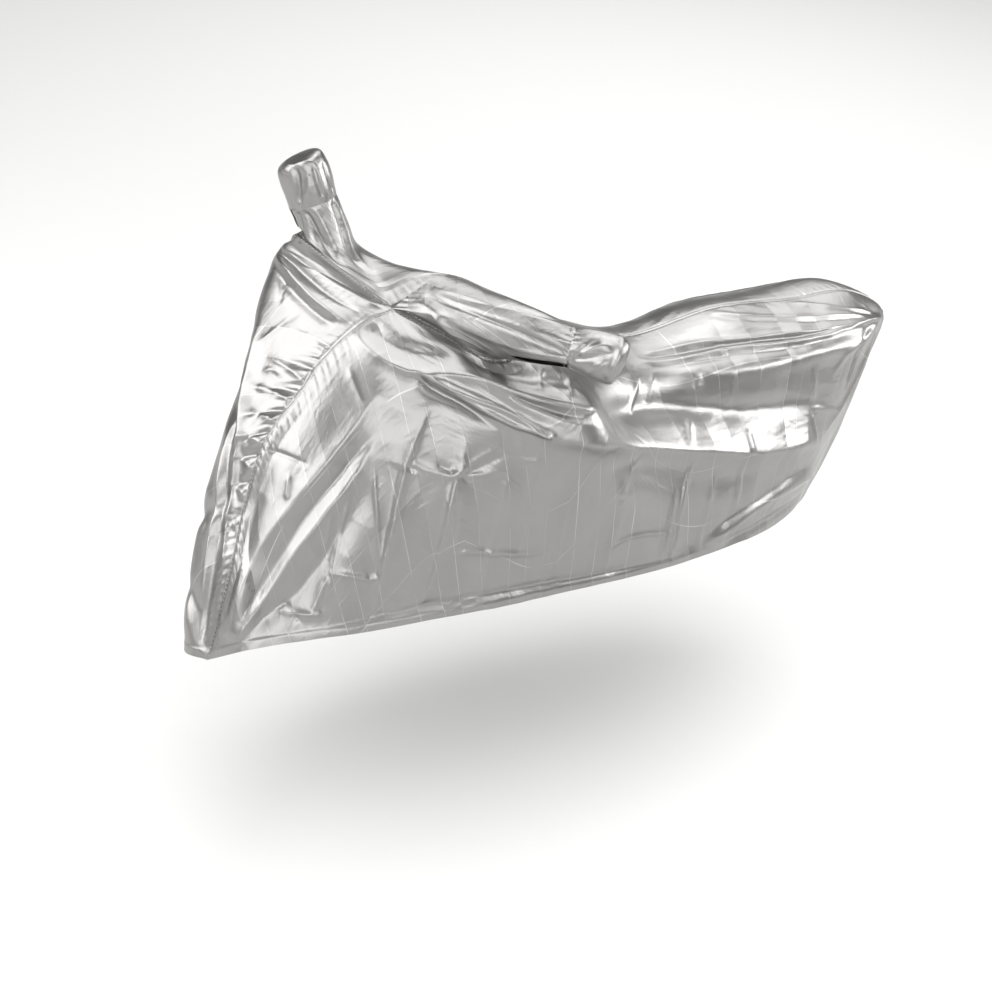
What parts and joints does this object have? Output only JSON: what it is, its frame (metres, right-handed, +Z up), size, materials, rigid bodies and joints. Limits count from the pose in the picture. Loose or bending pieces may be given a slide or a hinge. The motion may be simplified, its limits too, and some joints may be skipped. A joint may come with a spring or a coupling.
{
  "type": "motorcycle cover",
  "caption": "Fitted silver taffeta cover, hollow and open below, hanging as over a parked motorcycle with its bars turned, with a sewn pocket over each bar end and mirror.",
  "frame": {"origin": "on the inside of the cover, at the middle of the saddle that carries it", "axes": "+X to the front of the machine, +Y to the rider's left, +Z up, with the machine upright"},
  "size_m": [1.7289, 0.6132, 0.8965],
  "materials": {
    "silver_taffeta": "satin aluminium coating on woven polyester"
  },
  "bodies": {
    "root": {"side_left": "silver_taffeta", "side_right": "silver_taffeta", "pocket_left_sleeve": "silver_taffeta", "pocket_left_cap": "silver_taffeta", "pocket_right_sleeve": "silver_taffeta", "pocket_right_cap": "silver_taffeta"}
  },
  "joints": []
}
